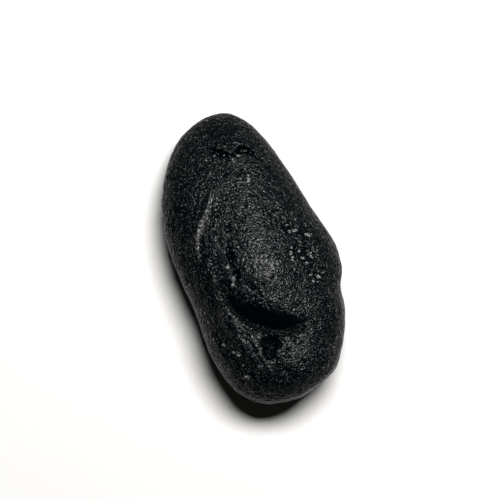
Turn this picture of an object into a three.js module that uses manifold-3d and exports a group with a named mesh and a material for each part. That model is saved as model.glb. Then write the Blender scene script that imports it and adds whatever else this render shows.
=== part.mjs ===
// Indochinite tektite: one long drop of natural black glass, pitted and gouged, lying on its belly.
// Millimetres, +Z up. +Y runs along the stone toward its narrower end, +X to its right.

import * as THREE from "three";
import { mergeVertices } from "three/addons/utils/BufferGeometryUtils.js";
import Module from "manifold-3d";

// ---- Driving dimensions

const LENGTH = 58;
const WIDTH = 31.5;
const CROWN_RISE = 12; // waist to crown
const BELLY_DROP = 10.4; // waist to belly, before the rest is flattened
const REST_CUT = 0.4; // how much of the belly is worn flat where the stone lies
const CREST_FULLNESS = 1.75; // 2 is an ellipse in section, less brings the crown to a crest
const FLANK_FULLNESS = 2.6; // 2 is an ellipse in section, more makes the flanks upright
const BELLY_FULLNESS = 2.3;
const END_TAPER = 0.18; // how much thinner the narrow end is, and thicker the wide end
const CROWN_LEAN = [-1.5, -3]; // where the crown is highest
const NOSE_DROOP = 4.5; // how far the narrow end hangs below the waist

const FACET_ROWS = 20; // splits of each edge of the starting icosahedron
const FACET_DRAW = [-0.06, -0.14, 0.3]; // draws the facets up to the crown and to the gouge in it
const WEAR = 0.4; // how far each corner's relief is worn toward that of its neighbours
const LINE_SNAP = 0.36; // a corner this near a sharp stroke's rim or middle line is drawn onto it

// The stone's outline seen from above, its widest line, anticlockwise from the narrow end.
const OUTLINE = [
  [3.9, 28.5], [-1, 28.8], [-5.9, 26.9], [-10.1, 22.7], [-13.1, 17.5], [-14.8, 12.5], [-15.6, 6.5],
  [-15.4, -0.2], [-14.9, -7.1], [-15, -14.5], [-14.2, -19.4], [-12.2, -24.4], [-8.1, -27.9],
  [-1.7, -29], [3.2, -27.9], [6.9, -26.2], [10.1, -22], [12.8, -15.9], [13.5, -11.6], [15.1, -7.6],
  [15.4, -2.9], [13.5, 4.9], [12, 12.1], [9.4, 21.4], [6.9, 26],
];

// Broad swellings and flats of the crown: centre x, y, reach along x, reach along y, rise.
const CROWN_SWELLS = [
  [1.5, -2, 5, 9, 1],
  [-13.5, 2, 3, 14, -0.5],
  [1.5, -26.5, 9, 8, 2.6],
];

// Broad swellings and flats of the underside, in the same terms.
const BELLY_SWELLS = [
  [-7, 14, 5, 6, 0.8],
  [8, 9, 4, 7, -0.7],
  [7, -15, 5, 5, 0.9],
  [-9, -13, 4, 6, -0.6],
];

// How a stroke's surface curves from its middle line to its edge: (1 - away ** bend) ** close.
const SOFT = [2, 2]; // runs out smoothly
const CREST = [1, 1.6]; // sharp along the middle line
const BANK = [1, 1.8]; // sharper still
const BEVEL = [1, 1]; // one slope from the middle line to the rim
const SCARP = [1.4, 1.3]; // steepest half way out

// Strokes are marks drawn over the surface: each path point is x, y and the half width there, or
// the half widths to the left and right of the path. Steepness is the rise over the half width.
const CROWN_STROKES = [
  { // ridge that runs down the left shoulder
    steepness: 0.42,
    curves: [CREST, BEVEL],
    path: [[-10.5, 3, 1, 0.6], [-10.4, 5.4, 1.8, 1.1], [-9.4, 7.7, 2, 1.2], [-7.8, 9.8, 2, 1.2],
      [-6, 11.7, 1.8, 1.1], [-4.6, 13.4, 1.3, 0.8], [-3.2, 15.6, 0.9, 0.6]],
  },
  { // crescent gouge
    sharp: true,
    steepness: -0.9,
    curves: [BANK, SCARP],
    path: [[-8.2, -4.7, 0.8, 0.8], [-7.2, -7.3, 3, 2], [-5.6, -9.7, 3.6, 2.3],
      [-3.7, -11.8, 3.5, 2.2], [-1.3, -13.7, 3.3, 2.1], [1.2, -14.6, 2.6, 1.8],
      [2.4, -14.5, 1.5, 1.2]],
  },
  { // lip below the gouge, running on toward the wide end
    steepness: 0.35,
    curves: [SOFT, CREST],
    path: [[-9, -5.2, 0.6], [-8.6, -8.4, 0.8], [-7, -11.4, 0.9], [-6.2, -14.2, 1],
      [-6, -16.8, 1.1], [-5.6, -19.6, 1.1], [-5, -22.6, 0.8]],
  },
  { // three-cornered hole under the gouge
    steepness: -0.9,
    curves: [SCARP, SCARP],
    path: [[-4.1, -16.2, 1.3], [-3, -16.9, 1.6], [-1.8, -16.9, 1.3]],
  },
  { // its tail
    steepness: -0.8,
    curves: [SCARP, SCARP],
    path: [[-3.1, -17.2, 1.5], [-4.1, -18.9, 1]],
  },
  { // groove across the narrow end, in two arches
    steepness: -0.7,
    curves: [SOFT, SOFT],
    path: [[-2.7, 23.7, 0.6], [-1.4, 22.6, 0.9], [0.4, 21.1, 1], [2, 20, 0.7], [3.4, 20.3, 0.8],
      [4.6, 20.2, 1], [6, 18.8, 0.9], [7.4, 16.5, 0.7]],
  },
  { // short groove below it
    steepness: -0.5,
    curves: [SOFT, SOFT],
    path: [[3.9, 15.8, 0.7], [4, 13.7, 0.8]],
  },
  { // furrow on the right shoulder
    steepness: -0.45,
    curves: [SOFT, SOFT],
    path: [[5.4, 5.2, 0.9], [8.6, 3.4, 1.2], [10.6, 2, 1], [12.2, 0, 0.8]],
  },
  { // shallow dish on the right shoulder
    steepness: -0.45,
    curves: [SOFT, SOFT],
    path: [[6.8, -1.8, 1.2], [9.4, -3.2, 1.9], [11, -4.4, 1.2]],
  },
  { // small pit under the dish
    steepness: -0.5,
    curves: [SOFT, SOFT],
    path: [[8.5, -7, 1], [10, -7.6, 1]],
  },
  { // row of pits left of the dome
    steepness: -0.6,
    curves: [SOFT, SOFT],
    path: [[-4.5, 3.2, 0.7], [-4.9, 1, 0.9], [-5.2, -1.6, 0.9], [-5.5, -3.8, 0.8]],
  },
  { // furrow above the gouge
    steepness: -0.5,
    curves: [SOFT, SOFT],
    path: [[-3.2, -4.2, 0.8], [-2.2, -6.8, 0.8]],
  },
  { // nick in the right edge
    steepness: -0.8,
    curves: [SOFT, SOFT],
    path: [[15, -11.8, 1.2], [11.6, -11.3, 0.9]],
  },
  { // dent low on the left shoulder
    steepness: -0.5,
    curves: [SOFT, SOFT],
    path: [[-12.2, -12.3, 1], [-11.2, -13.6, 1.1]],
  },
];

const BELLY_STROKES = [
  { // long shallow groove
    steepness: -0.5,
    curves: [SOFT, SOFT],
    path: [[-9, 9, 1], [-9.6, 2, 1.5], [-8.4, -5, 1.7], [-6.8, -10, 1.1]],
  },
  { // short gouge near the wide end
    steepness: -0.6,
    curves: [SOFT, SOFT],
    path: [[0.5, -19, 1.3], [3, -20.3, 2.1], [5.8, -20.2, 1.6]],
  },
];

// Round bubble pits strewn all over.
const PIT_COUNT = 170;
const PIT_RADIUS = [0.9, 2];
const PIT_DEPTH = [0.16, 0.5];
const PIT_SEED = 11;
const REST_CLEAR = [8, 13]; // half width and half length of the belly that holds no pits

// Satin black glass.
const GLASS = { color: 0x141618, roughness: 0.42, metalness: 0 };

// ---- Outline and body

const TURN = 2 * Math.PI;
const OUTLINE_SAMPLES = 720;

// How far the outline lies beyond the plain ellipse LENGTH by WIDTH, by the ellipse's own angle.
function outlineTable() {
  const knots = OUTLINE.map(([x, y]) => new THREE.Vector3(x, y, 0));
  const curve = new THREE.CatmullRomCurve3(knots, true, "centripetal");
  const rows = curve.getPoints(OUTLINE_SAMPLES).map((point) => {
    const x = point.x / (WIDTH / 2);
    const y = point.y / (LENGTH / 2);
    return { angle: Math.atan2(y, x), reach: Math.hypot(x, y) };
  });
  return rows.sort((a, b) => a.angle - b.angle);
}

function reachAt(table, angle) {
  let low = 0;
  let high = table.length;
  while (low < high) {
    const middle = (low + high) >> 1;
    if (table[middle].angle < angle) low = middle + 1;
    else high = middle;
  }
  const after = table[low % table.length];
  const before = table[(low + table.length - 1) % table.length];
  const gap = (after.angle - before.angle + TURN) % TURN || 1;
  const step = ((angle - before.angle + TURN) % TURN) / gap;
  return before.reach + (after.reach - before.reach) * step;
}

// The smooth body: a direction from the middle of the stone becomes a point of its skin.
function bodyPoint(table, direction) {
  const crown = direction.z > 0;
  const across = crown ? CREST_FULLNESS : BELLY_FULLNESS;
  const upward = crown ? FLANK_FULLNESS : BELLY_FULLNESS;
  const reach = reachAt(table, Math.atan2(direction.y, direction.x));
  const ring = Math.hypot(direction.x, direction.y);
  const spread = ring > 0 ? ring ** (2 / across - 1) * reach : 0;
  const height = Math.abs(direction.z) ** (2 / upward) * (1 - END_TAPER * direction.y);
  const lean = crown ? direction.z ** 2 : 0;
  const droop = NOSE_DROOP * Math.max(direction.y, 0) ** 2;
  return new THREE.Vector3(
    direction.x * spread * (WIDTH / 2) + CROWN_LEAN[0] * lean,
    direction.y * spread * (LENGTH / 2) + CROWN_LEAN[1] * lean,
    (crown ? height * CROWN_RISE : -height * BELLY_DROP) - droop,
  );
}

// ---- Relief

const smooth = (low, high, value) => THREE.MathUtils.smoothstep(value, low, high);

function swellRise(swells, x, y) {
  let rise = 0;
  for (const [centreX, centreY, reachX, reachY, height] of swells) {
    const dx = (x - centreX) / reachX;
    const dy = (y - centreY) / reachY;
    rise += height * Math.exp(-dx * dx - dy * dy);
  }
  return rise;
}

// The place of a stroke's middle line that a point belongs to, and how far out the point lies:
// 0 on the middle line, 1 on the stroke's edge.
function nearestOnStroke(path, x, y) {
  let nearest = { away: Infinity };
  for (let i = 1; i < path.length; i += 1) {
    const [x0, y0, left0, right0 = left0] = path[i - 1];
    const [x1, y1, left1, right1 = left1] = path[i];
    const dx = x1 - x0;
    const dy = y1 - y0;
    const along = ((x - x0) * dx + (y - y0) * dy) / (dx * dx + dy * dy);
    const t = THREE.MathUtils.clamp(along, 0, 1);
    const footX = x0 + dx * t;
    const footY = y0 + dy * t;
    const left = left0 + (left1 - left0) * t;
    const right = right0 + (right1 - right0) * t;
    const side = dx * (y - y0) - dy * (x - x0) > 0 ? 0 : 1;
    const reach = side === 0 ? left : right;
    const away = Math.hypot(x - footX, y - footY) / reach;
    if (away < nearest.away) {
      nearest = { away, footX, footY, reach, side, half: (left + right) / 2 };
    }
  }
  return nearest;
}

function snapToLines(strokes, point) {
  for (const { path } of strokes.filter(({ sharp }) => sharp)) {
    const { away, footX, footY, reach } = nearestOnStroke(path, point.x, point.y);
    if (Math.abs(away - 1) * reach < LINE_SNAP) {
      point.x = footX + (point.x - footX) / away;
      point.y = footY + (point.y - footY) / away;
    } else if (away * reach < LINE_SNAP) {
      point.x = footX;
      point.y = footY;
    }
  }
}

function strokeRise(strokes, x, y) {
  let rise = 0;
  for (const { steepness, curves, path } of strokes) {
    const { away, half, side } = nearestOnStroke(path, x, y);
    const [bend, close] = curves[side];
    rise += steepness * half * (1 - Math.min(away, 1) ** bend) ** close;
  }
  return rise;
}

// A seeded random sequence between 0 and 1.
function randomSequence(seed) {
  let state = seed;
  return () => {
    state = (state + 0x6d2b79f5) | 0;
    let mixed = Math.imul(state ^ (state >>> 15), 1 | state);
    mixed = (mixed + Math.imul(mixed ^ (mixed >>> 7), 61 | mixed)) ^ mixed;
    return ((mixed ^ (mixed >>> 14)) >>> 0) / 4294967296;
  };
}

// Pits spread evenly over the body by the golden angle, then shaken.
function scatterPits(table) {
  const random = randomSequence(PIT_SEED);
  const between = ([low, high], share) => low + (high - low) * share;
  const goldenAngle = Math.PI * (3 - Math.sqrt(5));
  const pits = [];
  for (let i = 0; i < PIT_COUNT; i += 1) {
    const height = 1 - (2 * (i + random())) / PIT_COUNT;
    const angle = i * goldenAngle + random();
    const ring = Math.sqrt(1 - height * height);
    const direction = new THREE.Vector3(ring * Math.cos(angle), ring * Math.sin(angle), height);
    const size = random() ** 2;
    const centre = bodyPoint(table, direction);
    pits.push({ centre, radius: between(PIT_RADIUS, size), depth: between(PIT_DEPTH, size) });
  }
  return pits;
}

function pitDepth(pits, point) {
  const { x, y, z } = point;
  const worn = z < 0 ? Math.hypot(x / REST_CLEAR[0], y / REST_CLEAR[1]) : 2;
  let depth = 0;
  for (const { centre, radius, depth: deepest } of pits) {
    const away = centre.distanceTo(point) / radius;
    if (away < 1) depth = Math.max(depth, deepest * (1 - away * away));
  }
  return depth * smooth(0.8, 1.2, worn);
}

// ---- The stone

function startingSphere() {
  const sphere = new THREE.IcosahedronGeometry(1, FACET_ROWS);
  sphere.deleteAttribute("normal");
  sphere.deleteAttribute("uv");
  return mergeVertices(sphere, 1e-5);
}

function smoothBody(table) {
  const geometry = startingSphere();
  const place = geometry.getAttribute("position");
  const draw = new THREE.Vector3(...FACET_DRAW);
  const direction = new THREE.Vector3();
  for (let i = 0; i < place.count; i += 1) {
    direction.fromBufferAttribute(place, i).add(draw).normalize();
    const point = bodyPoint(table, direction);
    if (direction.z > 0) snapToLines(CROWN_STROKES, point);
    place.setXYZ(i, point.x, point.y, point.z);
  }
  geometry.computeVertexNormals();
  return geometry;
}

// The rise of each corner over the smooth body, upward on the crown and downward on the belly.
function reliefRises(place, facing) {
  return Array.from({ length: place.count }, (_, i) => {
    const x = place.getX(i);
    const y = place.getY(i);
    const crown = facing.getZ(i) > 0;
    const rise = crown
      ? swellRise(CROWN_SWELLS, x, y) + strokeRise(CROWN_STROKES, x, y)
      : swellRise(BELLY_SWELLS, x, y) + strokeRise(BELLY_STROKES, x, y);
    return (crown ? rise : -rise) * smooth(0.02, 0.4, Math.abs(facing.getZ(i)));
  });
}

// Wears the relief down toward the mean of each corner's neighbours.
function worn(rises, corners) {
  const sums = rises.map(() => 0);
  const counts = rises.map(() => 0);
  for (let i = 0; i < corners.length; i += 3) {
    const triangle = [corners[i], corners[i + 1], corners[i + 2]];
    triangle.forEach((corner, side) => {
      sums[corner] += rises[triangle[(side + 1) % 3]] + rises[triangle[(side + 2) % 3]];
      counts[corner] += 2;
    });
  }
  return rises.map((rise, i) => rise + WEAR * (sums[i] / counts[i] - rise));
}

function tektiteGeometry() {
  const table = outlineTable();
  const pits = scatterPits(table);
  const geometry = smoothBody(table);
  const place = geometry.getAttribute("position");
  const facing = geometry.getAttribute("normal");
  const rises = worn(reliefRises(place, facing), geometry.index.array);
  const point = new THREE.Vector3();
  const normal = new THREE.Vector3();
  for (let i = 0; i < place.count; i += 1) {
    point.fromBufferAttribute(place, i);
    normal.fromBufferAttribute(facing, i);
    point.addScaledVector(normal, -pitDepth(pits, point));
    point.z += rises[i];
    place.setXYZ(i, point.x, point.y, point.z);
  }
  geometry.deleteAttribute("normal");
  return geometry;
}

function toSolid(wasm, geometry) {
  const merged = mergeVertices(geometry, 1e-5);
  return new wasm.Manifold(new wasm.Mesh({
    numProp: 3,
    vertProperties: new Float32Array(merged.getAttribute("position").array),
    triVerts: new Uint32Array(merged.index.array),
  }));
}

function toGeometry(solid) {
  const mesh = solid.getMesh();
  const geometry = new THREE.BufferGeometry();
  geometry.setAttribute("position", new THREE.BufferAttribute(mesh.vertProperties, 3));
  geometry.setIndex(new THREE.BufferAttribute(mesh.triVerts, 1));
  return geometry;
}

// Wears the lowest part of the belly flat, and puts the origin under the middle of the stone.
function restOnBelly(wasm, stone) {
  stone.computeBoundingBox();
  const { min, max } = stone.boundingBox;
  const ground = min.z + REST_CUT;
  const slab = new THREE.BoxGeometry(2 * WIDTH, 2 * LENGTH, BELLY_DROP);
  slab.deleteAttribute("normal");
  slab.deleteAttribute("uv");
  slab.translate(0, 0, ground - BELLY_DROP / 2);
  const rested = toGeometry(toSolid(wasm, stone).subtract(toSolid(wasm, slab)));
  rested.translate(-(min.x + max.x) / 2, -(min.y + max.y) / 2, -ground);
  rested.computeVertexNormals();
  return rested;
}

const wasm = await Module();
wasm.setup();

const tektite = new THREE.Mesh(
  restOnBelly(wasm, tektiteGeometry()),
  new THREE.MeshStandardMaterial(GLASS),
);
tektite.name = "tektite";

const stone = new THREE.Group();
stone.add(tektite);

export default stone;
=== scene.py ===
import math
import random

import bpy
import numpy as np
from bpy.props import FloatProperty, FloatVectorProperty, IntProperty, PointerProperty
from mathutils import Matrix, Vector, noise
from mathutils.kdtree import KDTree


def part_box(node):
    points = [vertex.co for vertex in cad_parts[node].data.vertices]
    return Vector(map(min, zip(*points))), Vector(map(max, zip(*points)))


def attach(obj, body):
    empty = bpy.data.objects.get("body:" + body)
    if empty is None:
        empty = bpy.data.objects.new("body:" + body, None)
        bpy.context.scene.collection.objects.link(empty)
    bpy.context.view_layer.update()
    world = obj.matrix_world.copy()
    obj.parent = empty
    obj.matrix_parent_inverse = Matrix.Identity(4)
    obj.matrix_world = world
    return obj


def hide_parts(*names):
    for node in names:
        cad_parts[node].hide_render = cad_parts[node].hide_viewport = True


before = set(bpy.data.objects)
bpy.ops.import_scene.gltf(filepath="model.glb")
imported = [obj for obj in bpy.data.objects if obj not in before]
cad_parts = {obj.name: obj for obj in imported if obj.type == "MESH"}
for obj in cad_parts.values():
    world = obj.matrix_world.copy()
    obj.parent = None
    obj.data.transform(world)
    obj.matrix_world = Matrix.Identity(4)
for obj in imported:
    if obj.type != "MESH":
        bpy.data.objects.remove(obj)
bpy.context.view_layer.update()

bl_info = {
    "name": "Indochinite Tektite",
    "version": (1, 0, 0),
    "blender": (4, 5, 0),
    "location": "3D View > Sidebar > Tektite",
    "description": "Builds a pitted drop of black natural glass and the pale table under it",
    "category": "Add Mesh",
}

CAD_LOW, CAD_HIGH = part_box("tektite")
MM = 0.001

# ---- The form of the stone, in millimetres: +Y along it toward the narrow end, +Z up

LENGTH = 58.0
WIDTH = 31.5
CROWN_RISE = 12.0  # waist to crown
BELLY_DROP = 10.4  # waist to belly
REST_CUT = 0.4  # how much of the belly is worn flat
CREST_FULLNESS = 1.75  # 2 is an ellipse in section, less brings the crown to a crest
FLANK_FULLNESS = 2.6  # 2 is an ellipse in section, more makes the flanks upright
BELLY_FULLNESS = 2.3
END_TAPER = 0.18  # how much thinner the narrow end is, and thicker the wide end
CROWN_LEAN = (-1.5, -3.0)  # where the crown is highest
NOSE_DROOP = 4.5  # how far the narrow end hangs below the waist

# The widest line seen from above, anticlockwise from the narrow end.
OUTLINE = (
    (3.9, 28.5), (-1, 28.8), (-5.9, 26.9), (-10.1, 22.7), (-13.1, 17.5), (-14.8, 12.5),
    (-15.6, 6.5), (-15.4, -0.2), (-14.9, -7.1), (-15, -14.5), (-14.2, -19.4), (-12.2, -24.4),
    (-8.1, -27.9), (-1.7, -29), (3.2, -27.9), (6.9, -26.2), (10.1, -22), (12.8, -15.9),
    (13.5, -11.6), (15.1, -7.6), (15.4, -2.9), (13.5, 4.9), (12, 12.1), (9.4, 21.4), (6.9, 26),
)
OUTLINE_STEPS = 24  # points on each span of the outline's curve

# Broad swellings and flats: centre x, y, reach along x, reach along y, rise.
CROWN_SWELLS = (
    (1.5, -2, 5, 9, 1.0),
    (-13.5, 2, 3, 14, -0.5),
    (1.5, -26.5, 9, 8, 2.6),
    (12, -15, 4, 5, 0.8),
)
BELLY_SWELLS = (
    (-7, 14, 5, 6, 0.8),
    (8, 9, 4, 7, -0.7),
    (7, -15, 5, 5, 0.9),
    (-9, -13, 4, 6, -0.6),
)

# How a stroke's surface curves from its middle line to its edge.
SOFT = (2, 2)  # runs out smoothly
BOWL = (2, 1)  # ends in a sharp rim
CREST = (1, 1.6)  # sharp along the middle line
BEVEL = (1, 1)  # one slope from the middle line to the rim
BANK = (1, 1.8)  # sharp along the middle line, then runs out smoothly

# Marks drawn over the surface as strokes: the steepness, how they curve to the left and to the
# right of the path, and the path as x, y and the half width, or the half widths left and right.
CROWN_STROKES = {
    "shoulder": (-0.04, SOFT, SOFT, (
        (-2, 17, 3, 2), (-5.5, 12.5, 4.5, 2.6), (-8.4, 7, 5, 2.8), (-9.4, 1, 5, 2.8),
        (-9, -5, 3, 2))),
    "low shoulder": (0.1, SOFT, SOFT, (
        (-8.6, -8, 3.4, 2), (-7.4, -12, 4, 2.6), (-6, -18, 3, 2.4), (-5, -23, 2, 2))),
    "ridge": (0.42, CREST, BEVEL, (
        (-10.5, 3, 1, 0.5), (-10.4, 5.4, 1.8, 1), (-9.4, 7.7, 2, 1.1), (-7.8, 9.8, 2, 1.1),
        (-6, 11.7, 1.8, 1), (-4.6, 13.4, 1.3, 0.7), (-3.2, 15.6, 0.7, 0.4))),
    "low ridge": (0.3, CREST, BEVEL, (
        (-8.8, -6.4, 0.8, 0.4), (-9.2, -3.6, 1, 0.4), (-9.3, 0, 1, 0.4), (-9.5, 2.4, 0.7, 0.4))),
    "gouge": (-0.95, BANK, BEVEL, (
        (-9.4, -2.6, 1, 0.3), (-8.8, -4.8, 3.2, 0.4), (-8.1, -7.9, 4.8, 0.6),
        (-6.5, -10.8, 5.4, 0.6), (-4.5, -13, 5.4, 0.6), (-1.8, -15, 5.3, 0.6),
        (1.2, -16.2, 4.8, 0.6), (3.8, -15.7, 2.8, 0.7))),
    "gouge lip": (0.3, SOFT, SOFT, (
        (-9, -5.2, 0.4), (-8.6, -8.4, 0.5), (-7, -11.2, 0.5), (-5, -13.4, 0.5),
        (-3.8, -14.6, 0.4))),
    "long lip": (0.3, SOFT, CREST, (
        (-6.3, -13.6, 0.5, 0.5), (-6, -16.4, 0.9, 0.6), (-5.6, -19.6, 1, 0.7),
        (-5, -22.6, 0.7, 0.6))),
    "outer bank": (0.35, BEVEL, SOFT, (
        (-9.6, -6.5, 1, 0.8), (-9.5, -9.5, 2, 1.6), (-8.9, -13, 2.2, 1.7), (-7.9, -17, 2, 1.6),
        (-6.9, -20.5, 1.4, 1.2))),
    "hole": (-1.25, BEVEL, BEVEL, (
        (-4.3, -16.2, 1.1), (-2.9, -17, 1.85), (-3.6, -18.2, 1.5), (-4, -19, 0.9))),
    "top groove": (-1.0, SOFT, SOFT, (
        (-2.3, 23, 0.3), (-1.2, 22.2, 0.7), (0.1, 21.2, 0.95), (1.4, 20.4, 0.7), (2.6, 19.9, 0.5),
        (3.4, 20.2, 0.7), (4.4, 20.3, 1.05), (5.4, 19.8, 0.95), (6.5, 18.6, 0.6), (7.8, 16.9, 0.35))),
    "short groove": (-0.5, BEVEL, SOFT, ((3.7, 15.9, 0.6, 0.3), (3.5, 13.5, 0.9, 0.4))),
    "side hollow": (-0.8, SOFT, SOFT, (
        (-4.6, 3.3, 0.4), (-4.8, 1.7, 0.9), (-4.9, 0.6, 0.4), (-4.8, -0.8, 0.4), (-4.8, -2.1, 0.9),
        (-5.2, -4.2, 0.4))),
    "front hollow": (-0.8, SOFT, SOFT, ((-3.2, -4.2, 0.5), (-2.6, -5.6, 0.7), (-2, -7.1, 0.4))),
    "right furrow": (-0.22, SOFT, SOFT, ((5.6, 6.2, 1), (8.6, 4.2, 1.8), (11.4, 1.6, 1.4))),
    "right dish": (-0.3, SOFT, SOFT, ((8, -1.6, 1.8), (9.8, -3, 2.1))),
    "edge nick": (-0.8, SOFT, SOFT, ((15, -11.8, 1.2), (11.6, -11.3, 0.9))),
    "left dent": (-0.5, SOFT, SOFT, ((-12.2, -12.3, 1), (-11.2, -13.6, 1.1))),
}
BELLY_STROKES = {
    "long groove": (-0.5, SOFT, SOFT, (
        (-9, 9, 1), (-9.6, 2, 1.5), (-8.4, -5, 1.7), (-6.8, -10, 1.1))),
    "short gouge": (-0.6, SOFT, BOWL, ((0.5, -19, 1.3), (3, -20.3, 2.1), (5.8, -20.2, 1.6))),
}

# Single pits of the crown as x, y, radius and depth. A bead has a depth below nothing.
CROWN_PITS = (
    # a chain in two arches across the narrow end
    (-2.7, 23.7, 0.4, 0.2), (-1.8, 23, 0.6, 0.45), (-0.9, 22.1, 0.75, 0.6), (0.2, 21.3, 0.7, 0.6),
    (1, 20.5, 0.55, 0.4), (1.9, 20, 0.4, 0.2), (3.2, 20.4, 0.5, 0.4), (4.1, 20.5, 0.75, 0.6),
    (5, 19.9, 0.7, 0.5), (5.9, 18.9, 0.5, 0.35), (6.8, 17.6, 0.55, 0.45), (7.4, 16.5, 0.4, 0.2),
    (-1.6, 21.6, 0.4, -0.2), (-0.6, 20.7, 0.45, -0.25), (0.5, 19.8, 0.4, -0.2),
    (2.5, 19.3, 0.45, -0.2), (4.2, 18.9, 0.4, -0.2),
    (3.9, 15.6, 0.4, 0.35), (4, 14.8, 0.35, 0.3), (4.1, 13.9, 0.4, 0.35), (3.3, 14.7, 0.3, -0.15),
    # rings round a bead
    (0.2, 7.7, 0.95, 0.6), (0.2, 7.7, 0.45, -0.5), (-3.3, 6.6, 1, 0.7), (-3.5, 5.8, 0.6, -0.5),
    (-5.8, 4.7, 0.45, 0.3), (1.3, -17.5, 0.75, 0.35), (1.5, -17.9, 0.35, -0.3),
    (1.1, -22.7, 0.9, 0.35), (1.1, -22.7, 0.45, -0.3), (4.8, 2, 0.4, 0.25),
    # a row at the left of the dome
    (-4.5, 3, 0.4, 0.25), (-4.7, 1.8, 0.5, 0.4), (-4.9, 0.6, 0.55, 0.45), (-5.1, -0.6, 0.5, 0.4),
    (-5.3, -2, 0.6, 0.5), (-5.5, -3.4, 0.5, 0.4), (-5.9, -0.2, 0.45, -0.25),
    (-6.2, -2.4, 0.45, -0.25), (-6.5, -4, 0.5, -0.25), (-2.3, 2.6, 0.4, 0.3),
    (-3.1, -4.5, 0.5, 0.4), (-2.5, -5.4, 0.5, 0.4), (-2, -6.5, 0.4, 0.3), (-3.6, -5.9, 0.5, -0.2),
    (-4.4, -6.8, 0.5, -0.2), (-0.5, -5.9, 0.45, 0.25),
    # a cluster on the right shoulder
    (5.3, 4.8, 0.5, 0.4), (6.2, 5.6, 0.45, 0.35), (6.6, 4.6, 0.4, -0.3), (7.4, 4.2, 0.5, 0.35),
    (8.3, 3.6, 0.45, -0.3), (8.9, 2.8, 0.6, 0.4), (9.8, 2.7, 0.4, -0.2), (10.8, 2.2, 0.5, 0.4),
    (11.1, 1, 0.5, -0.25), (12, 0.1, 0.5, 0.3),
    # a cluster on the right flank
    (6.2, -1.8, 0.5, 0.35), (6.9, -2.6, 0.4, -0.3), (7.3, -1.2, 0.5, 0.4), (8, -2.2, 0.5, 0.4),
    (8.7, -1.4, 0.4, -0.3), (8.4, -3.3, 0.4, -0.3), (9.3, -2.6, 0.5, 0.4), (9.5, -4, 0.5, 0.4),
    (10.2, -3.2, 0.45, -0.35), (10.8, -4.2, 0.6, 0.4), (11.3, -3.2, 0.5, 0.3),
    (11.4, -5.2, 0.5, -0.3), (8.4, -6.8, 0.6, 0.4), (9.6, -7.4, 0.6, 0.45), (9, -7.9, 0.4, -0.25),
    (10.3, -8.2, 0.4, -0.25), (7.3, -4.4, 0.4, 0.25), (6.9, -0.4, 0.4, 0.25),
    # loose ones at the wide end
    (-12.4, -12, 0.5, 0.3), (-11.9, -12.9, 0.4, -0.25), (-10.2, -15.9, 0.6, 0.35),
    (-9.7, -16.7, 0.5, -0.35), (-8.9, -17.9, 0.5, -0.3), (-9.3, -19.2, 0.6, 0.3),
    (-10.1, -21.3, 0.5, -0.3), (-9.1, -21.6, 0.5, -0.3), (-7.9, -13.2, 0.5, 0.3),
    (-7.4, -14.4, 0.6, 0.3), (-0.3, -19.2, 0.5, 0.3), (2.4, -20.1, 0.5, 0.3), (-3, -20.9, 0.5, -0.2),
    (-2.2, -22.6, 0.6, 0.3), (4.4, -18, 0.5, 0.3), (5.6, -21, 0.5, 0.3), (-0.8, -28, 0.5, -0.3),
)

# Small pits all over, none in another: how many are tried, and their radii and depths.
SMALL_PITS = 500
SMALL_PIT_RADIUS = (0.45, 0.9)
SMALL_PIT_DEPTH = (0.06, 0.2)  # for a radius of 1
PIT_SEED = 7

# How the strokes' paths wander: the size of each waver and how far it reaches.
STROKE_WAVERS = ((2.6, 0.35), (0.9, 0.16))


class StoneSettings(bpy.types.PropertyGroup):
    grid: IntProperty(
        name="Grid", description="Faces along each edge of the starting cube",
        default=126, min=14, max=128,
    )
    glass: FloatVectorProperty(
        name="Glass", description="Colour of the glass", subtype="COLOR",
        default=(0.00001, 0.00024, 0.00033), min=0, max=1,
    )
    roughness: FloatProperty(
        name="Roughness", description="Roughness of the etched skin", default=0.27, min=0, max=1,
    )


class StageSettings(bpy.types.PropertyGroup):
    floor: FloatVectorProperty(
        name="Floor", description="Colour of the floor", subtype="COLOR",
        default=(0.1515, 0.15, 0.147), min=0, max=1,
    )
    key: FloatProperty(
        name="Key light", description="Power of the soft light", default=28.0, min=0, unit="POWER",
    )


# ---- Shaping


def smooth_step(low, high, value):
    t = np.clip((value - low) / (high - low), 0, 1)
    return t * t * (3 - 2 * t)


def outline_curve():
    """Points along a closed centripetal curve through the outline's knots."""
    knots = np.array(OUTLINE, float)
    before, start, end, after = (np.roll(knots, shift, axis=0) for shift in (1, 0, -1, -2))
    lag, span, lead = (
        np.linalg.norm(b - a, axis=1)[:, None] ** 0.5
        for a, b in ((before, start), (start, end), (end, after))
    )
    leave = (start - before) / lag - (end - before) / (lag + span) + (end - start) / span
    reach = (end - start) / span - (after - start) / (span + lead) + (after - end) / lead
    leave, reach = leave * span, reach * span
    steps = []
    for t in np.arange(OUTLINE_STEPS) / OUTLINE_STEPS:
        steps.append(
            (2 * t**3 - 3 * t**2 + 1) * start + (t**3 - 2 * t**2 + t) * leave
            + (3 * t**2 - 2 * t**3) * end + (t**3 - t**2) * reach
        )
    return np.stack(steps, axis=1).reshape(-1, 2)


def outline_reach(angle):
    """How far the outline lies beyond the plain ellipse, by the ellipse's own angle."""
    points = outline_curve() / (WIDTH / 2, LENGTH / 2)
    angles = np.arctan2(points[:, 1], points[:, 0])
    return np.interp(angle, angles, np.hypot(*points.T), period=2 * math.pi)


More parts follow.
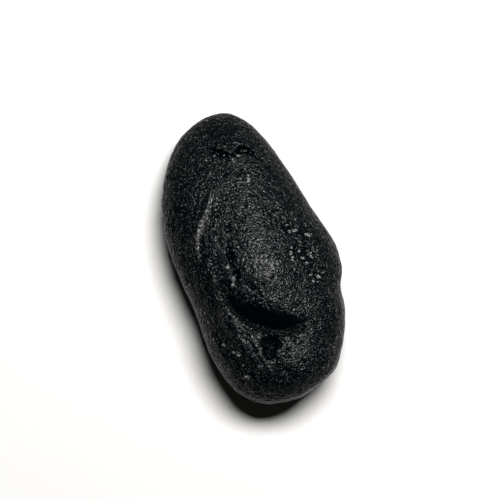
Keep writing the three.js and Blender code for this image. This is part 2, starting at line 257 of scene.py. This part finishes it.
def body_points(direction):
    """Directions from the middle of the stone become points of its smooth skin."""
    x, y, z = direction.T
    crown = z > 0
    across = np.where(crown, CREST_FULLNESS, BELLY_FULLNESS)
    upward = np.where(crown, FLANK_FULLNESS, BELLY_FULLNESS)
    spread = np.hypot(x, y) ** (2 / across - 1) * outline_reach(np.arctan2(y, x))
    height = np.abs(z) ** (2 / upward) * (1 - END_TAPER * y)
    lean = np.where(crown, z * z, 0)
    droop = NOSE_DROOP * np.maximum(y, 0) ** 2
    return np.stack((
        x * spread * WIDTH / 2 + CROWN_LEAN[0] * lean,
        y * spread * LENGTH / 2 + CROWN_LEAN[1] * lean,
        np.where(crown, height * CROWN_RISE, -height * BELLY_DROP) - droop,
    ), axis=1)


def swell_rise(swells, x, y):
    rise = np.zeros_like(x)
    for at_x, at_y, reach_x, reach_y, height in swells:
        rise += height * np.exp(-(((x - at_x) / reach_x) ** 2) - ((y - at_y) / reach_y) ** 2)
    return rise


def stroke_rise(strokes, x, y):
    rise = np.zeros_like(x)
    for steepness, left_curve, right_curve, path in strokes.values():
        away = np.full_like(x, np.inf)
        half = np.zeros_like(x)
        leftward = np.zeros_like(x, bool)
        for (x0, y0, *sides0), (x1, y1, *sides1) in zip(path, path[1:]):
            dx, dy = x1 - x0, y1 - y0
            along = ((x - x0) * dx + (y - y0) * dy) / (dx * dx + dy * dy)
            t = np.clip(along, 0, 1)
            on_left = dx * (y - y0) - dy * (x - x0) > 0
            left = sides0[0] + (sides1[0] - sides0[0]) * t
            right = sides0[-1] + (sides1[-1] - sides0[-1]) * t
            gap = np.hypot(x - x0 - dx * t, y - y0 - dy * t) / np.where(on_left, left, right)
            nearer = gap < away
            half = np.where(nearer, (left + right) / 2, half)
            leftward = np.where(nearer, on_left, leftward)
            away = np.minimum(away, gap)
        away = np.minimum(away, 1)
        left_rise, right_rise = (
            (1 - away**bend) ** close for bend, close in (left_curve, right_curve)
        )
        rise += steepness * half * np.where(leftward, left_rise, right_rise)
    return rise


def press_pits(points, normals, x, y, pits):
    """Presses round pits into the crown along its normals, each seen from above as a circle."""
    for at_x, at_y, radius, depth in pits:
        away = np.hypot(x - at_x, y - at_y) / radius
        inside = (away < 1) & (normals[:, 2] > 0)
        fall = depth * (1 - away[inside] ** 2) ** 1.3
        points[inside] -= normals[inside] * fall[:, None]


def press_small_pits(points, normals):
    """Presses small pits into the whole skin, wherever they don't run into each other."""
    draws = random.Random(PIT_SEED)
    tree = KDTree(len(points))
    for index, point in enumerate(points):
        tree.insert(point, index)
    tree.balance()
    kept = []
    for _ in range(SMALL_PITS):
        middle = Vector(points[draws.randrange(len(points))])
        radius = SMALL_PIT_RADIUS[0] + (SMALL_PIT_RADIUS[1] - SMALL_PIT_RADIUS[0]) * draws.random() ** 2
        depth = radius * draws.uniform(*SMALL_PIT_DEPTH)
        if any((middle - other).length < radius + reach for other, reach in kept):
            continue
        kept.append((middle, radius))
        for _, index, away in tree.find_range(middle, radius):
            points[index] -= normals[index] * depth * (1 - (away / radius) ** 2)


def noise_at(points, size, salt=0.0):
    """Smooth noise between -1 and 1 at each point, with lumps of that size."""
    places = points / size + salt
    return np.array([noise.noise(place) for place in places.tolist()])


def read_points(mesh):
    points = np.empty(len(mesh.vertices) * 3)
    mesh.vertices.foreach_get("co", points)
    return points.reshape(-1, 3)


def read_normals(mesh):
    normals = np.empty(len(mesh.vertices) * 3)
    mesh.vertices.foreach_get("normal", normals)
    return normals.reshape(-1, 3)


def write_points(mesh, points):
    mesh.vertices.foreach_set("co", np.ascontiguousarray(points).ravel())
    mesh.update()


def deselect_all():
    if bpy.context.object and bpy.context.object.mode != "OBJECT":
        bpy.ops.object.mode_set(mode="OBJECT")
    bpy.ops.object.select_all(action="DESELECT")


# ---- Shader maths


class Wire:
    """A socket that takes part in sums: every operator adds its Math node."""

    def __init__(self, tree, socket):
        self.tree = tree
        self.socket = socket

    def _math(self, operation, first, second):
        node = self.tree.nodes.new("ShaderNodeMath")
        node.operation = operation
        for slot, value in zip(node.inputs, (first, second)):
            feed(self.tree, slot, value)
        return Wire(self.tree, node.outputs[0])

    def __add__(self, other):
        return self._math("ADD", self, other)

    def __radd__(self, other):
        return self._math("ADD", other, self)

    def __sub__(self, other):
        return self._math("SUBTRACT", self, other)

    def __rsub__(self, other):
        return self._math("SUBTRACT", other, self)

    def __mul__(self, other):
        return self._math("MULTIPLY", self, other)

    def __rmul__(self, other):
        return self._math("MULTIPLY", other, self)

    def __pow__(self, other):
        return self._math("POWER", self, other)


def feed(tree, slot, value):
    if isinstance(value, Wire):
        tree.links.new(value.socket, slot)
    else:
        slot.default_value = value


class Shader:
    """A material's node tree, empty but for its output."""

    def __init__(self, material):
        material.use_nodes = True
        self.tree = material.node_tree
        self.tree.nodes.clear()

    def node(self, kind, settings=None, inputs=None, output=0):
        """Adds a node, sets its settings first and then its sockets, and returns an output."""
        node = self.tree.nodes.new(kind)
        for name, value in (settings or {}).items():
            setattr(node, name, value)
        for name, value in (inputs or {}).items():
            feed(self.tree, node.inputs[name], value)
        return Wire(self.tree, node.outputs[output])

    def finish(self, surface):
        output = self.tree.nodes.new("ShaderNodeOutputMaterial")
        feed(self.tree, output.inputs["Surface"], surface)


# Spots of the crown as x, y and reach in millimetres: where hollows keep a dull skin, where a highlight
# is painted along the ridges, and where a glint is painted.
DULL_HOLLOWS = (
    # the gouge
    (-7.6, -6.6, 1.3), (-6.6, -8.6, 1.9), (-5.4, -9.8, 2.5), (-4.2, -10.6, 3), (-2.9, -12, 3.1),
    (-1.2, -12.8, 3), (0.6, -13.6, 2.7), (2.4, -14.2, 2), (-6.8, -10.9, 0.9), (-5, -13, 1),
    (-3.2, -14.5, 1.1), (-1.2, -15.4, 1.1), (0.9, -15.9, 1),
    # the hole
    (-3.1, -16.9, 2.6), (-3.9, -18.6, 1.6),
    # the top groove
    (-1, 22, 0.9), (0.2, 21.1, 1.1), (1.4, 20.4, 0.9), (2.7, 19.9, 0.7), (4.2, 20.4, 1.2),
    (5.4, 19.8, 1.1), (6.5, 18.6, 0.8), (7.5, 17.2, 0.6),
    # the pits left of the dome
    (-4.4, 2.9, 0.9), (-4.7, 1.4, 1.5), (-4.9, -0.3, 0.8), (-4.6, -2.2, 1.2), (-2.6, -5.6, 1.1),
    # the pits on the right
    (7.4, 3.2, 1.7), (9.8, 1.6, 1.6), (7.3, -1.9, 2), (9.4, -3.4, 2.2), (9.6, -7.8, 1.5),
)
# Painted highlights: spots along the ridge, the low ridge and the gouge's lip where the glass colour is
# painted pale.
RIDGE_HIGHLIGHTS = (
    # the ridge
    (-9.9, 5.3, 0.35), (-9.7, 6, 0.35), (-9.3, 6.8, 0.4), (-8.9, 7.6, 0.3), (-8.5, 8.4, 0.35),
    (-8, 9.1, 0.3), (-7.4, 9.8, 0.35), (-6.7, 10.5, 0.3), (-5.9, 11.3, 0.35), (-5.2, 12, 0.3),
    (-4.7, 12.7, 0.3), (-4.2, 13.4, 0.25), (-3, 12.9, 0.25), (-3.5, 12, 0.3), (-4.2, 11.1, 0.25),
    # the low ridge
    (-8.5, 2.2, 0.2), (-8.5, 1.4, 0.25), (-8.5, 0.6, 0.2), (-8.5, -0.2, 0.25), (-8.6, -1, 0.25),
    (-8.6, -1.8, 0.25), (-8.7, -2.6, 0.2),
    # the gouge's lip
    (-8.9, -4.2, 0.25), (-9, -5, 0.25), (-9, -5.7, 0.25), (-8.9, -6.5, 0.25), (-8.7, -7.3, 0.3),
    (-8.5, -8, 0.3), (-8.3, -8.8, 0.3), (-7.9, -9.5, 0.25), (-7.5, -10.2, 0.25), (-7.1, -10.8, 0.25),
    (-6.6, -11.5, 0.25), (-6.1, -12.2, 0.25), (-5.6, -12.9, 0.25),
)
# Painted glints: spots where the glass colour is painted pale as a highlight.
PAINTED_GLINTS = (
    (8.6, 2.1, 0.5), (7.8, 2.2, 0.35), (10.5, 0.7, 0.35), (10.9, 0.5, 0.4), (11.4, 0.1, 0.3),
    (7.7, 3.5, 0.3), (8.6, 3.7, 0.25), (7.1, 4.3, 0.25), (9.1, 2, 0.35), (10.2, -3.9, 0.45),
    (6.6, -1.8, 0.45), (8.9, -4.7, 0.4), (8.5, -3.5, 0.4), (8.2, -1.9, 0.35), (6.7, -2.6, 0.3),
    (6.3, -3.1, 0.3), (7.1, -0.9, 0.3), (9.6, -3.2, 0.25), (10.3, -8.1, 0.35), (9.7, -8.7, 0.3),
    (8.8, -8.4, 0.3), (11.2, -7.4, 0.25), (-5.3, -2.4, 0.4), (-5.5, -2.9, 0.45),
    (-5.8, -3.6, 0.35), (-5.7, -0.2, 0.45), (-9.3, -21.4, 0.4), (-9.7, -21.3, 0.35),
    (-11.6, -13.9, 0.35), (-9.5, -16.7, 0.4), (-5.8, -14.6, 0.3), (-10.3, -16, 0.35),
    (-6.6, -20.3, 0.3), (-0.8, 20.9, 0.35), (3.5, 19.4, 0.35), (2.3, 19.2, 0.3), (-2.6, 20.9, 0.3),
    (4, 15.2, 0.35), (3.8, 14.6, 0.35), (3.6, 14, 0.35), (3.5, 13.4, 0.3), (-3.6, 5.6, 0.35),
)
SPOT_SHAKE = 0.6  # how far the spots' edges wander, from end to end
CROWN_FOOT = (11.0, 14.0)  # the heights between which the spots fade in
CREASE_REACH = 0.8  # of the spots along the bottom of a deep stroke
FLOW_CENTRE = (2.5 * MM, 2.0 * MM, 0.0)  # the flow lines curve round this point
RELIEF = 0.45 * MM  # the height of a relief of 1


def creases(*names):
    """Spots along the middle lines of the crown's deep strokes."""
    spots = []
    for name in names:
        path = CROWN_STROKES[name][3]
        for (x0, y0, *_), (x1, y1, *_) in zip(path, path[1:]):
            steps = math.ceil(math.hypot(x1 - x0, y1 - y0) / CREASE_REACH)
            spots += [
                (x0 + (x1 - x0) * step / steps, y0 + (y1 - y0) * step / steps, CREASE_REACH)
                for step in range(steps)
            ]
    return spots


def glass_material(settings):
    material = bpy.data.materials.new("black_glass")
    shader = Shader(material)
    place = shader.node("ShaderNodeTexCoord", output="Object")

    def grain(scale, detail=0.0, rough=0.5, where=place):
        return shader.node(
            "ShaderNodeTexNoise",
            inputs={"Vector": where, "Scale": scale, "Detail": detail, "Roughness": rough},
        )

    def ramp(value, start, end, low=0.0, high=1.0):
        """Runs smoothly from low to high as the value goes from start to end."""
        return shader.node(
            "ShaderNodeMapRange", {"interpolation_type": "SMOOTHSTEP"},
            {"Value": value, "From Min": start, "From Max": end, "To Min": low, "To Max": high},
        )

    def pocks(scale, share):
        """Round dimples with a depth of their own, in that share of the cells."""
        cells = {"Vector": place, "Scale": scale}
        away = shader.node("ShaderNodeTexVoronoi", inputs=cells, output="Distance")
        colour = shader.node("ShaderNodeTexVoronoi", inputs=cells, output="Color")
        lot = shader.node("ShaderNodeSeparateColor", inputs={"Color": colour})
        deep = shader.node("ShaderNodeMapRange", inputs={"Value": lot, "From Min": 1 - share})
        return deep * ramp(away, 0.0, 0.5, 1.0, 0.0)

    def parts(vector, axes):
        """The vector's components along the named axes."""
        return [
            shader.node("ShaderNodeSeparateXYZ", inputs={"Vector": vector}, output=axis)
            for axis in axes
        ]

    # The spots lie in a ground plan of the stone, shaken so that their edges are ragged.
    shake = shader.node(
        "ShaderNodeTexNoise", inputs={"Vector": place, "Scale": 1200.0, "Detail": 1.0},
        output="Color",
    )
    shaken = shader.node(
        "ShaderNodeVectorMath", {"operation": "MULTIPLY_ADD"},
        {0: shake, 1: (SPOT_SHAKE * MM, SPOT_SHAKE * MM, 0.0), 2: place},
    )
    plan = shader.node(
        "ShaderNodeVectorMath", {"operation": "MULTIPLY"}, {0: shaken, 1: (1.0, 1.0, 0.0)},
    )
    over = parts(place, "Z")[0]
    crown = ramp(over, CROWN_FOOT[0] * MM, CROWN_FOOT[1] * MM)

    def near(spots):
        """One inside any of the crown's spots, falling to nothing at their reach."""
        inside = 0.0
        for x, y, reach in spots:
            middle = ((x + SPOT_SHAKE / 2) * MM, (y + SPOT_SHAKE / 2) * MM, 0.0)
            away = shader.node(
                "ShaderNodeVectorMath", {"operation": "DISTANCE"}, {0: plan, 1: middle},
                output="Value",
            )
            inside = shader.node("ShaderNodeMath", {"operation": "MAXIMUM"}, {
                0: inside, 1: ramp(away, 0.5 * reach * MM, reach * MM, 1.0, 0.0),
            })
        return inside * crown

    # Flow lines: noise drawn out along rings, which climb the flanks as level bands.
    sway = grain(160.0)
    outward = shader.node(
        "ShaderNodeVectorMath", {"operation": "SUBTRACT"}, {0: place, 1: FLOW_CENTRE},
    )
    east, north, height = parts(outward, "XYZ")
    ring = (east * east + north * north) ** 0.5
    turn = shader.node("ShaderNodeMath", {"operation": "ARCTAN2"}, {0: north, 1: east})
    drawn = shader.node(
        "ShaderNodeCombineXYZ",
        inputs={"X": ring * 1500.0 + height * 1700.0 + sway * 5.0, "Y": turn * 5.0, "Z": 0.0},
    )
    flow = grain(1.0, 1.0, where=drawn)

    # Each kind of place is one where it lies and nothing elsewhere.
    normal = shader.node("ShaderNodeTexCoord", output="Normal")
    facing_east, facing_up = parts(normal, "XZ")
    dull = near(DULL_HOLLOWS)
    crease = near(creases("gouge", "hole"))
    ridge_highlight = near(RIDGE_HIGHLIGHTS)
    painted_glint = near(PAINTED_GLINTS)
    flank = ramp(facing_up, 0.3, 0.75, 1.0, 0.0) * (1.0 - dull)
    west_slope = ramp(facing_up, 0.3, 0.5) * ramp(facing_east, -0.6, -0.15, 1.0, 0.0)
    rubbed_waist = ramp(facing_up, 0.02, 0.22, 1.0, 0.0) * ramp(facing_east, -0.4, 0.8, 1.0, 0.0)

    fine_grain = grain(3300.0) * 0.25
    loose_grains = grain(3100.0) ** 6.0 * 0.85
    dimples = pocks(1100.0, 0.3) * 0.6
    coarse_grain = grain(1500.0) * 2.5
    etched = 1.0 - dull * 0.25 + crease * 2.5 + flank - west_slope * 0.3
    relief = (fine_grain + loose_grains + flow * 0.13 - dimples) * etched + coarse_grain * flank
    bump = shader.node(
        "ShaderNodeBump", inputs={"Strength": 1.0, "Distance": RELIEF, "Height": relief},
    )
    clouds = grain(300.0, 3.0) * 0.18 - 0.07
    roughness = (
        settings.roughness + clouds - dull * 0.08 + crease * 0.15 - west_slope * 0.1
        - rubbed_waist * 0.26
    )
    # Painted highlights in the glass colour: pale specks painted as glints all over the skin, stronger
    # on the steep flanks and left out of the hollows, and the painted highlight along the ridges and
    # the painted glints, both broken into grains.
    painted_sparkle = ramp(grain(3600.0), 0.64, 0.78) * (1.0 - dull)
    highlight_breakup = ramp(grain(3800.0), 0.4, 0.62)
    pale = painted_sparkle * (0.013 + flank * 0.012) + (ridge_highlight * 0.035 + painted_glint * 0.05) * highlight_breakup
    colour = shader.node(
        "ShaderNodeMix", {"data_type": "RGBA"},
        {"Factor": pale, 6: (*settings.glass, 1), 7: (1.0, 1.0, 1.0, 1.0)}, output=2,
    )
    surface = shader.node(
        "ShaderNodeBsdfPrincipled",
        inputs={
            "Base Color": colour, "Roughness": roughness, "IOR": 1.5,
            "Specular IOR Level": 0.039, "Normal": bump,
        },
    )
    shader.finish(surface)
    return material


def floor_material(settings):
    material = bpy.data.materials.new("pale_floor")
    shader = Shader(material)
    surface = shader.node(
        "ShaderNodeBsdfPrincipled",
        inputs={"Base Color": (*settings.floor, 1), "Roughness": 0.9, "Specular IOR Level": 0.0},
    )
    shader.finish(surface)
    return material


# ---- The stone

FIRST_CUTS = 6  # the cube is cut in seven, then each of those again
FACET_DRAW = (-0.03, 0.0, 0.42)  # draws the faces up to the crown


def add_stone_cube(grid):
    deselect_all()
    bpy.ops.mesh.primitive_cube_add(size=2, location=(0, 0, 0))
    stone = bpy.context.object
    stone.name = "tektite_stone"
    stone.data.name = "tektite_stone"
    bpy.ops.object.mode_set(mode="EDIT")
    bpy.ops.mesh.select_all(action="SELECT")
    bpy.ops.mesh.subdivide(number_cuts=FIRST_CUTS)
    bpy.ops.mesh.select_all(action="SELECT")
    bpy.ops.mesh.subdivide(number_cuts=grid // (FIRST_CUTS + 1) - 1)
    bpy.ops.object.mode_set(mode="OBJECT")
    return stone


def swell_to_body(stone):
    """The cube is blown up to the stone's smooth body."""
    points = np.tan(read_points(stone.data) * math.pi / 4)
    direction = points / np.linalg.norm(points, axis=1)[:, None] + FACET_DRAW
    direction /= np.linalg.norm(direction, axis=1)[:, None]
    write_points(stone.data, body_points(direction))


def draw_relief(stone):
    """Swellings, ridge, gouge and grooves, raised or cut upright through the skin."""
    points = read_points(stone.data)
    normals = read_normals(stone.data)
    upright = smooth_step(0.02, 0.4, np.abs(normals[:, 2]))
    crown_side = normals[:, 2] > 0
    x, y = points[:, 0].copy(), points[:, 1].copy()
    for salt, (size, reach) in enumerate(STROKE_WAVERS):
        x += reach * noise_at(points, size, 10.0 + salt)
        y += reach * noise_at(points, size, 20.0 + salt)
    crown = swell_rise(CROWN_SWELLS, x, y) + stroke_rise(CROWN_STROKES, x, y)
    belly = swell_rise(BELLY_SWELLS, x, y) + stroke_rise(BELLY_STROKES, x, y)
    points[:, 2] += np.where(crown_side, crown, -belly) * upright
    press_pits(points, normals, x, y, CROWN_PITS)
    press_small_pits(points, normals)
    write_points(stone.data, points)


def set_down(stone):
    """Wears the belly flat, and puts the stone where the frame has it."""
    points = read_points(stone.data)
    low, high = points.min(axis=0), points.max(axis=0)
    ground = low[2] + REST_CUT
    middle = (Vector(CAD_LOW) + Vector(CAD_HIGH)) / 2 / MM
    points[:, 2] = np.maximum(points[:, 2], ground) - ground
    points[:, 0] += middle.x - (low[0] + high[0]) / 2
    points[:, 1] += middle.y - (low[1] + high[1]) / 2
    write_points(stone.data, points * MM)


def settle(stone):
    """Presses what the roughening pushed through the ground back up to it."""
    points = read_points(stone.data)
    points[:, 2] = np.maximum(points[:, 2], 0)
    write_points(stone.data, points)


def displace(stone, name, kind, scale, strength, **settings):
    texture = bpy.data.textures.new(name, kind)
    texture.noise_scale = scale * MM
    for key, value in settings.items():
        setattr(texture, key, value)
    modifier = stone.modifiers.new(name, "DISPLACE")
    modifier.texture = texture
    modifier.texture_coords = "LOCAL"
    modifier.strength = strength * MM
    modifier.mid_level = 0.5
    bpy.ops.object.modifier_apply(modifier=modifier.name)


class TEKTITE_OT_stone(bpy.types.Operator):
    """Shapes the tektite and gives it its skin"""

    bl_idname = "tektite.stone"
    bl_label = "Stone"

    def execute(self, context):
        settings = context.scene.tektite_stone
        stone = add_stone_cube(settings.grid)
        swell_to_body(stone)
        draw_relief(stone)
        set_down(stone)
        displace(stone, "lumps", "CLOUDS", 3.0, 0.3)
        displace(stone, "peel", "CLOUDS", 0.9, 0.05)
        displace(stone, "grit", "CLOUDS", 0.45, 0.03)
        settle(stone)
        bpy.ops.object.shade_smooth()
        stone.data.materials.append(glass_material(settings))
        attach(stone, "root")
        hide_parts("tektite")
        return {"FINISHED"}


# ---- The stage

LEAN = math.radians(20)  # the stone leans this much to the left of the camera's upright
VIEW_WIDTH = 97.8 * MM  # width of the view at the stone's waist
CAMERA_HEIGHT = 0.6
CAMERA_OVER = (-0.57 * MM, 1.45 * MM)  # the point of the floor at the middle of the view
LIGHT_TILT = math.radians(19)  # off the upright
LIGHT_BEARING = math.radians(66)  # above the view's right
LIGHT_DISTANCE = 0.6
LIGHT_ACROSS = 0.26
LIGHT_DOWN = 0.14


class TEKTITE_OT_stage(bpy.types.Operator):
    """Adds the pale floor, the soft light, the world and the camera"""

    bl_idname = "tektite.stage"
    bl_label = "Stage"

    def execute(self, context):
        settings = context.scene.tektite_stage
        deselect_all()
        bpy.ops.mesh.primitive_plane_add(size=6, location=(0, 0, 0))
        floor = context.object
        floor.name = "floor"
        floor.data.materials.append(floor_material(settings))

        right = Vector((math.cos(LEAN), -math.sin(LEAN), 0))
        up = Vector((math.sin(LEAN), math.cos(LEAN), 0))
        across = right * math.cos(LIGHT_BEARING) + up * math.sin(LIGHT_BEARING)
        toward = across * math.sin(LIGHT_TILT) + Vector((0, 0, math.cos(LIGHT_TILT)))
        bpy.ops.object.light_add(type="AREA", location=toward * LIGHT_DISTANCE)
        key = context.object
        key.name = "key"
        over = toward.cross(right).normalized()
        key.rotation_euler = Matrix((over.cross(toward), over, toward)).transposed().to_euler()
        key.data.shape = "ELLIPSE"
        key.data.size = LIGHT_ACROSS
        key.data.size_y = LIGHT_DOWN
        key.data.energy = settings.key

        world = bpy.data.worlds.new("studio")
        context.scene.world = world
        world.use_nodes = True
        tree = world.node_tree
        tree.nodes.clear()
        paths = tree.nodes.new("ShaderNodeLightPath")
        seen = tree.nodes.new("ShaderNodeBackground")
        seen.inputs["Color"].default_value = (0.9, 0.9, 0.9, 1)
        dim = tree.nodes.new("ShaderNodeBackground")
        dim.inputs["Color"].default_value = (0.05, 0.046, 0.04, 1)
        mix = tree.nodes.new("ShaderNodeMixShader")
        out = tree.nodes.new("ShaderNodeOutputWorld")
        tree.links.new(paths.outputs["Is Camera Ray"], mix.inputs[0])
        tree.links.new(dim.outputs[0], mix.inputs[1])
        tree.links.new(seen.outputs[0], mix.inputs[2])
        tree.links.new(mix.outputs[0], out.inputs["Surface"])

        waist = BELLY_DROP * MM
        bpy.ops.object.camera_add(location=(*CAMERA_OVER, CAMERA_HEIGHT))
        camera = context.object
        camera.name = "camera"
        camera.rotation_euler = Matrix((right, up, (0, 0, 1))).transposed().to_euler()
        camera.data.lens = camera.data.sensor_width * (CAMERA_HEIGHT - waist) / VIEW_WIDTH
        context.scene.camera = camera
        context.scene.view_settings.view_transform = "Standard"
        return {"FINISHED"}


class TEKTITE_PT_panel(bpy.types.Panel):
    """Lists the stone, the stage and their settings"""

    bl_label = "Tektite"
    bl_idname = "TEKTITE_PT_panel"
    bl_space_type = "VIEW_3D"
    bl_region_type = "UI"
    bl_category = "Tektite"

    def draw(self, context):
        layout = self.layout
        for name, operator in (
            ("tektite_stone", TEKTITE_OT_stone), ("tektite_stage", TEKTITE_OT_stage),
        ):
            settings = getattr(context.scene, name)
            for key in settings.__annotations__:
                layout.prop(settings, key)
            layout.operator(operator.bl_idname)


CLASSES = (
    StoneSettings, StageSettings, TEKTITE_OT_stone, TEKTITE_OT_stage, TEKTITE_PT_panel,
)


def register():
    for each in CLASSES:
        bpy.utils.register_class(each)
    bpy.types.Scene.tektite_stone = PointerProperty(type=StoneSettings)
    bpy.types.Scene.tektite_stage = PointerProperty(type=StageSettings)


def unregister():
    del bpy.types.Scene.tektite_stage
    del bpy.types.Scene.tektite_stone
    for each in reversed(CLASSES):
        bpy.utils.unregister_class(each)


def main():
    register()
    bpy.ops.tektite.stage()
    bpy.ops.tektite.stone()


if __name__ == "__main__":
    main()
